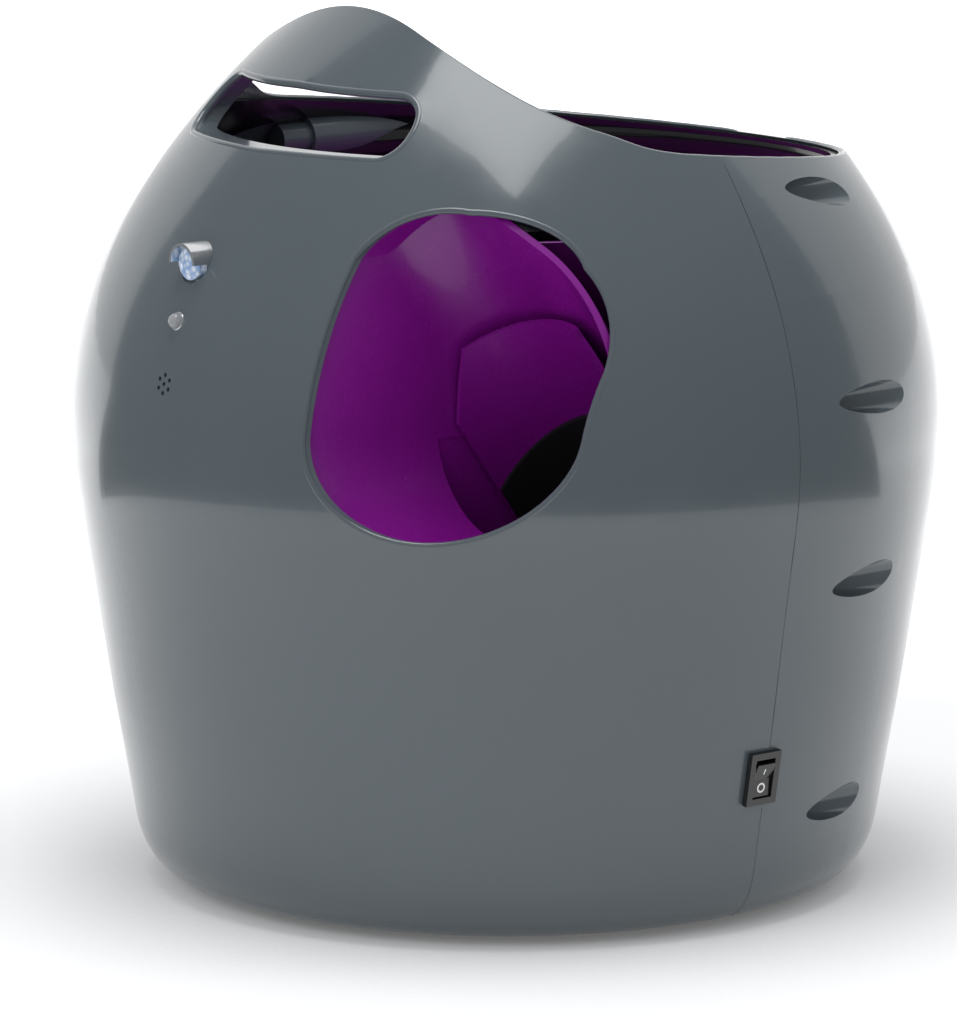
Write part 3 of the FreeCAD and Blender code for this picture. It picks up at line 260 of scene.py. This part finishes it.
def height_at(radius):
    """Height above the belly at which the outer surface has this radius."""
    low, high = 0.18, 0.3385
    for step in range(40):
        middle = (low + high) / 2
        if body_radius(middle) > radius:
            low = middle
        else:
            high = middle
    return low


def outward(x, y, z):
    """Unit normal of the outer surface."""
    rise = (body_radius(z + 0.002) - body_radius(z - 0.002)) / 0.004
    flat = Vector((x, y, 0)).normalized()
    return Vector((flat.x, flat.y, -rise)).normalized()


def on_front(x, z):
    radius = body_radius(z)
    return Vector((x, -math.sqrt(max(radius ** 2 - x ** 2, 1e-9)), z))


# Mesh helpers

def mesh_piece(name, verts, faces, material, body, smooth=True):
    mesh = bpy.data.meshes.new(name)
    mesh.from_pydata([tuple(v) for v in verts], [], faces)
    mesh.update()
    for face in mesh.polygons:
        face.use_smooth = smooth
    obj = bpy.data.objects.new(name, mesh)
    bpy.context.scene.collection.objects.link(obj)
    obj.data.materials.append(material)
    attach(obj, body)
    return obj


def swept(name, centres, outs, profile, material, body, closed=True):
    """Sweep a profile of (out, aside) pairs along centres; outs are the out directions."""
    verts, faces = [], []
    count, sides = len(centres), len(profile)
    for index, (centre, out) in enumerate(zip(centres, outs)):
        before = centres[(index - 1) % count] if closed or index else centres[0]
        after = centres[(index + 1) % count] if closed or index < count - 1 else centres[-1]
        along = (after - before).normalized()
        out = (out - along * out.dot(along)).normalized()
        aside = along.cross(out)
        for far, wide in profile:
            verts.append(centre + out * far + aside * wide)
    for index in range(count if closed else count - 1):
        next_row = (index + 1) % count
        for side in range(sides):
            a = index * sides + side
            b = index * sides + (side + 1) % sides
            faces.append((a, b, next_row * sides + (side + 1) % sides, next_row * sides + side))
    if not closed:
        faces.append(tuple(range(sides - 1, -1, -1)))
        faces.append(tuple(range((count - 1) * sides, count * sides)))
    return mesh_piece(name, verts, faces, material, body)


def ring(radius, sides=12):
    turns = [2 * math.pi * i / sides for i in range(sides)]
    return [(radius * math.cos(turn), radius * math.sin(turn)) for turn in turns]


def turned(name, place, axis, profile, material, body):
    """Revolve (radius, along) pairs about the axis through place."""
    sides = 48
    axis = Vector(axis).normalized()
    side = axis.orthogonal().normalized()
    other = axis.cross(side)
    verts, faces = [], []
    for step in range(sides):
        turn = 2 * math.pi * step / sides
        across = side * math.cos(turn) + other * math.sin(turn)
        for radius, along in profile:
            verts.append(Vector(place) + across * radius + axis * along)
    rows = len(profile)
    for step in range(sides):
        after = (step + 1) % sides
        for row in range(rows - 1):
            faces.append((step * rows + row, step * rows + row + 1, after * rows + row + 1,
                          after * rows + row))
    return mesh_piece(name, verts, faces, material, body)


# Edges of the openings

LIP_ASIDE = 0.0008
EDGE_RADIUS = 0.00152
EDGE_DROP = 0.0006
SEAM_RADIUS = 0.00026
SEAM_DEPTH = 0.00016
SEAM_STEP = 0.002


def arc_points(a, b, c, count):
    """Points on the circle through a, b and c, from a to c, without c."""
    ax, ay = a
    bx, by = b
    cx, cy = c
    d = 2 * (ax * (by - cy) + bx * (cy - ay) + cx * (ay - by))
    ux = ((ax * ax + ay * ay) * (by - cy) + (bx * bx + by * by) * (cy - ay)
          + (cx * cx + cy * cy) * (ay - by)) / d
    uy = ((ax * ax + ay * ay) * (cx - bx) + (bx * bx + by * by) * (ax - cx)
          + (cx * cx + cy * cy) * (bx - ax)) / d
    radius = math.hypot(ax - ux, ay - uy)
    start = math.atan2(ay - uy, ax - ux)
    middle = (math.atan2(by - uy, bx - ux) - start + math.pi) % (2 * math.pi) - math.pi
    end = (math.atan2(cy - uy, cx - ux) - start) % (2 * math.pi)
    if middle < 0:
        end -= 2 * math.pi
    turns = [start + end * i / count for i in range(count)]
    return [(ux + radius * math.cos(turn), uy + radius * math.sin(turn)) for turn in turns]


def line_points(a, b, count):
    return [(a[0] + (b[0] - a[0]) * i / count, a[1] + (b[1] - a[1]) * i / count) for i in range(count)]


def port_outline():
    left, right = PORT_X - PORT_HALF, PORT_X + PORT_HALF
    start = (left, PORT_TOP_Z - 0.017)
    low_a, low_b, low_c = (left, PORT_LOW_Z), (PORT_X, PORT_LOW_Z - PORT_HALF), (right, PORT_LOW_Z)
    side = (right, PORT_LOW_Z + 0.024)
    lean = (PORT_X + PORT_HALF * 0.61, PORT_TOP_Z - 0.019)
    crown = (PORT_X - PORT_HALF * 0.3, PORT_TOP_Z)
    return (line_points(start, low_a, 14) + arc_points(low_a, low_b, low_c, 44)
            + line_points(low_c, side, 8)
            + arc_points(side, (PORT_X + PORT_HALF * 0.89, PORT_TOP_Z - 0.036), lean, 14)
            + arc_points(lean, (PORT_X + PORT_HALF * 0.2, PORT_TOP_Z - 0.0045), crown, 16)
            + arc_points(crown, (left + PORT_HALF * 0.2, PORT_TOP_Z - 0.0045), start, 14))


def lip(name, outline, middle_x, middle_z, depth, thick):
    """Rounded bead along an outline in X and Z, laid just inside the outer surface."""
    centres, outs = [], []
    for x, z in outline:
        place = on_front(x, z)
        normal = outward(*place)
        away = Vector((x - middle_x, 0, z - middle_z)).normalized()
        away = (away - normal * away.dot(normal)).normalized()
        centres.append(place + away * LIP_ASIDE - normal * depth)
        outs.append(normal)
    swept(name, centres, outs, ring(thick), GREY, "body")


def slot_outline():
    """Points round the handle slot in X and Z."""
    corners = []
    for side, z, radius, first in ((1, SLOT_HIGH_Z - SLOT_HIGH_CORNER, SLOT_HIGH_CORNER, 0),
                                   (-1, SLOT_HIGH_Z - SLOT_HIGH_CORNER, SLOT_HIGH_CORNER, 90),
                                   (-1, SLOT_LOW_Z + SLOT_LOW_CORNER, SLOT_LOW_CORNER, 180),
                                   (1, SLOT_LOW_Z + SLOT_LOW_CORNER, SLOT_LOW_CORNER, 270)):
        for step in range(10):
            turn = math.radians(first + 10 * step)
            corners.append((side * (SLOT_HALF - radius) + radius * math.cos(turn),
                            z + radius * math.sin(turn)))
    points = []
    for index, here in enumerate(corners):
        after = corners[(index + 1) % len(corners)]
        length = math.dist(here, after)
        points += line_points(here, after, max(1, int(length / 0.003)))
    return points


def inside(tree, place):
    """Whether a point lies in a shell half."""
    hit, normal = tree.ray_cast(place, Vector((0, 0, 1)))[:2]
    return hit is not None and normal.z > 0


def rim_height(y, start):
    """Place of the rim in the middle of the wall at this Y, on the +X side."""
    tree = SHELL if y < 0 else REAR
    z = start
    while z > 0.24:
        radius = body_radius(z) - WALL / 2
        if radius > abs(y) + 0.0005:
            place = Vector((math.sqrt(radius ** 2 - y ** 2), y, z))
            if inside(tree, place):
                return place
        z -= 0.0003
    return None


def rim_edge():
    """The rim from the middle of the crest round the +X side to the back."""
    inset = WALL / 2
    points = []
    x = 0.0
    while x < 0.1:
        z = height_at(math.hypot(x, MOUTH_Y) + inset)
        if z < 0.3322:
            break
        points.append(Vector((x, MOUTH_Y, z)))
        x += 0.003
    y = MOUTH_Y + 0.0004
    z = points[-1].z
    while y < BODY_R:
        place = rim_height(y, min(z + 0.001, 0.3375))
        if place is None:
            break
        points.append(place)
        z = place.z
        y += 0.0006 if y < -0.066 else 0.0025 if place.x > 0.05 else 0.0008
    points.append(Vector((0, math.hypot(points[-1].x, points[-1].y), points[-1].z)))
    return points


def mouth_edge():
    right = rim_edge()
    left = [Vector((-p.x, p.y, p.z)) for p in right[::-1] if p.x > 1e-6]
    loop = right + left
    thin = [loop[0]]
    for place in loop[1:]:
        if (place - thin[-1]).length > 0.0012:
            thin.append(place)
    if (thin[-1] - thin[0]).length < 0.0012:
        thin.pop()
    for step in range(2):
        thin = [(thin[i - 1] + thin[i] * 2 + thin[(i + 1) % len(thin)]) / 4 for i in range(len(thin))]
    centres, outs = [], []
    for place in thin:
        centres.append(place - Vector((0, 0, EDGE_DROP)))
        outs.append(outward(place.x, place.y, min(place.z, 0.336)))
    swept("mouth_edge", centres, outs, ring(EDGE_RADIUS), GREY, "body")


def seam(name, side, low, high):
    """Thin shade in the joint between the two halves, from low to high."""
    centres, outs = [], []
    z = low
    while z < high:
        radius = body_radius(z)
        centres.append(Vector((side * (radius - SEAM_DEPTH), 0, z)))
        outs.append(outward(side * radius, 0, z))
        z += SEAM_STEP
    swept(name, centres, outs, ring(SEAM_RADIUS, 8), SEAM, "body", closed=False)


# Marks of the switch

def switch_frame():
    """Place, out and up directions of the switch face."""
    y, z = SWITCH
    radius = body_radius(z)
    lean = (body_radius(z + 0.008) - body_radius(z - 0.008)) / 0.016
    up = Vector((lean, 0, 1)).normalized()
    out = Vector((0, 1, 0)).cross(up).normalized()
    return Vector((radius, y, z)), out, up


def flat_mark(name, loops, body, material):
    """Thin raised shape from an outer loop of points and an optional inner one."""
    verts, faces = [], []
    for loop in loops:
        verts += loop
    outer = len(loops[0])
    if len(loops) == 1:
        faces.append(tuple(range(outer)))
    else:
        for i in range(outer):
            j = (i + 1) % outer
            faces.append((i, j, outer + j, outer + i))
    return mesh_piece(name, verts, faces, material, body, smooth=False)


def rocker_point(x, z):
    """Point of the rocker in switch axes, turned about its pin as it stands."""
    arm = x - ROCKER_PIN
    return (ROCKER_PIN + arm * math.cos(ROCKER_TURN) + z * math.sin(ROCKER_TURN),
            z * math.cos(ROCKER_TURN) - arm * math.sin(ROCKER_TURN))


def switch_marks():
    place, out, up = switch_frame()
    side = Vector((0, 1, 0))
    waist, top, bottom = [rocker_point(*point) for point in (ROCKER_WAIST, ROCKER_TOP, ROCKER_BOTTOM)]
    half_length = math.dist(waist, bottom)

    def on_face(low, high, part, aside, lift=0.0001):
        x = low[0] + (high[0] - low[0]) * part
        z = low[1] + (high[1] - low[1]) * part
        slope = Vector((high[0] - low[0], high[1] - low[1]))
        slope.normalize()
        x += slope.y * lift
        z -= slope.x * lift
        return place + out * x + up * z + side * aside

    bar = [on_face(waist, top, part, aside) for part, aside in
           ((0.32, -0.0003), (0.32, 0.0003), (0.68, 0.0003), (0.68, -0.0003))]
    flat_mark("mark_on", [bar], "rocker", WHITE)
    loops = []
    for radius in (0.00195, 0.00125):
        loop = []
        for step in range(28):
            turn = 2 * math.pi * step / 28
            part = 0.5 + radius * math.sin(turn) / half_length
            loop.append(on_face(bottom, waist, part, radius * math.cos(turn)))
        loops.append(loop)
    flat_mark("mark_off", loops, "rocker", WHITE)


def lamp_ring():
    place = on_front(0, LAMP_Z)
    normal = outward(*place)
    profile = [(0.0030, -0.0012), (0.0034, -0.0008), (0.0035, -0.0001), (0.0033, 0.0003), (0.0030, 0.0002),
               (0.0029, -0.0004)]
    turned("lamp_ring", place, normal, profile, SILVER, "body")


def lamp(name, place, target, size, power, spin=0.0, mirrored=True, colour=(1, 1, 1)):
    data = bpy.data.lights.new(name, "AREA")
    data.shape = "RECTANGLE"
    data.size, data.size_y = size
    data.energy = power
    data.color = colour
    obj = bpy.data.objects.new(name, data)
    obj.location = place
    turn = (Vector(target) - Vector(place)).to_track_quat("-Z", "Y").to_matrix().to_4x4()
    turn = turn @ Matrix.Rotation(math.radians(spin), 4, "Z")
    obj.rotation_euler = turn.to_euler()
    obj.visible_glossy = mirrored
    bpy.context.scene.collection.objects.link(obj)


def lights():
    lamp("overhead", (0.16, -0.12, 2.2), (0.16, -0.12, 0), (1.2, 1.2), 24, 10)
    lamp("fill", (0.4, -2.6, 1.5), (0, 0, 0.15), (2.2, 1.6), 16, 0, False)


def world():
    scene = bpy.context.scene
    scene.world = bpy.data.worlds.new("studio")
    scene.world.use_nodes = True
    tree = scene.world.node_tree
    back = tree.nodes["Background"]
    back.inputs["Color"].default_value = (0.97, 0.98, 1.0, 1)
    back.inputs["Strength"].default_value = 0.62
    seen = tree.nodes.new("ShaderNodeBackground")
    seen.inputs["Color"].default_value = (1, 1, 1, 1)
    seen.inputs["Strength"].default_value = 1.0
    mix = tree.nodes.new("ShaderNodeMixShader")
    tree.links.new(seen_ray(tree), mix.inputs["Fac"])
    tree.links.new(back.outputs[0], mix.inputs[1])
    tree.links.new(seen.outputs[0], mix.inputs[2])
    tree.links.new(mix.outputs[0], tree.nodes["World Output"].inputs["Surface"])


def seen_ray(tree):
    """One for camera, glossy and transmission rays, otherwise nought."""
    ray = tree.nodes.new("ShaderNodeLightPath")
    value = ray.outputs["Is Camera Ray"]
    for name in ("Is Glossy Ray", "Is Transmission Ray"):
        more = tree.nodes.new("ShaderNodeMath")
        more.operation = "MAXIMUM"
        tree.links.new(value, more.inputs[0])
        tree.links.new(ray.outputs[name], more.inputs[1])
        value = more.outputs["Value"]
    return value


def floor():
    mesh = bpy.data.meshes.new("floor")
    form = bmesh.new()
    bmesh.ops.create_circle(form, cap_ends=True, segments=96, radius=14)
    form.to_mesh(mesh)
    form.free()
    obj = bpy.data.objects.new("floor", mesh)
    bpy.context.scene.collection.objects.link(obj)
    mat, tree, bsdf = shader("paper", (0.88, 0.88, 0.88), 0.85)
    place = object_place(tree)
    bump(tree, bsdf, noise(tree, place, 300.0, 2.0), 0.0001)
    bsdf.inputs["Emission Color"].default_value = (1, 1, 1, 1)
    far = tree.nodes.new("ShaderNodeVectorMath")
    far.operation = "LENGTH"
    tree.links.new(place, far.inputs[0])
    glow = between(tree, far.outputs["Value"], 0.12, 1.0, 0.35, 0.95)
    lift = tree.nodes.new("ShaderNodeMath")
    lift.operation = "MULTIPLY"
    tree.links.new(seen_ray(tree), lift.inputs[0])
    tree.links.new(glow, lift.inputs[1])
    tree.links.new(lift.outputs["Value"], bsdf.inputs["Emission Strength"])
    obj.data.materials.append(mat)


def flag():
    """Dull studio screen that only reflections show: a dome in front and the end of the table."""
    verts, faces = [], []
    turns = [math.radians(-76 + 232 * step / 40) for step in range(41)]
    rings = [(0.62, 0.0008), (1.4, 0.0008), (4.5, 0.0008)]
    for step in range(1, 12):
        rise = math.radians(8 * step)
        rings.append((4.5 * math.cos(rise), 4.5 * math.sin(rise)))
    for far, high in rings:
        for turn in turns:
            verts.append((far * math.sin(turn), -far * math.cos(turn), high))
    count = len(turns)
    for row in range(len(rings) - 1):
        for step in range(count - 1):
            a = row * count + step
            faces.append((a, a + 1, a + count + 1, a + count))
    mesh = bpy.data.meshes.new("flag")
    mesh.from_pydata(verts, [], faces)
    obj = bpy.data.objects.new("flag", mesh)
    bpy.context.scene.collection.objects.link(obj)
    mat, tree, bsdf = shader("felt", (0.02, 0.02, 0.02), 0.9)
    bsdf.inputs["Emission Color"].default_value = (0.95, 0.98, 1, 1)
    bsdf.inputs["Emission Strength"].default_value = 0.25
    bsdf.inputs["Specular IOR Level"].default_value = 0.0
    obj.data.materials.append(mat)
    obj.visible_camera = False
    obj.visible_diffuse = False
    obj.visible_shadow = False
    obj.visible_transmission = False


def camera():
    data = bpy.data.cameras.new("camera")
    data.lens = 228.5
    data.sensor_width = 36
    data.shift_x = -0.0269
    data.clip_end = 60
    obj = bpy.data.objects.new("camera", data)
    turn, rise, far = math.radians(50), math.radians(10.5), 2.5
    target = Vector((0, 0, 0.139))
    away = Vector((math.sin(turn) * math.cos(rise), -math.cos(turn) * math.cos(rise), math.sin(rise)))
    obj.location = target + away * far
    obj.rotation_euler = (-away).to_track_quat("-Z", "Y").to_euler()
    bpy.context.scene.collection.objects.link(obj)
    bpy.context.scene.camera = obj


bpy.context.scene.view_settings.view_transform = "Standard"
world()
lights()
camera()
floor()
flag()
for node_name in NODES:
    dress(node_name)
lip("port_lip", port_outline(), PORT_X, PORT_MIDDLE_Z, 0.0011, 0.0013)
lip("slot_lip", slot_outline(), 0, (SLOT_LOW_Z + SLOT_HIGH_Z) / 2, 0.0013, 0.0016)
mouth_edge()
seam("seam_right", 1, FLOOR_Z, SWITCH_LOW_Z)
seam("seam_right_upper", 1, SWITCH_HIGH_Z + 0.0003, SEAM_TOP_Z)
seam("seam_left", -1, FLOOR_Z, SEAM_TOP_Z)
switch_marks()
lamp_ring()
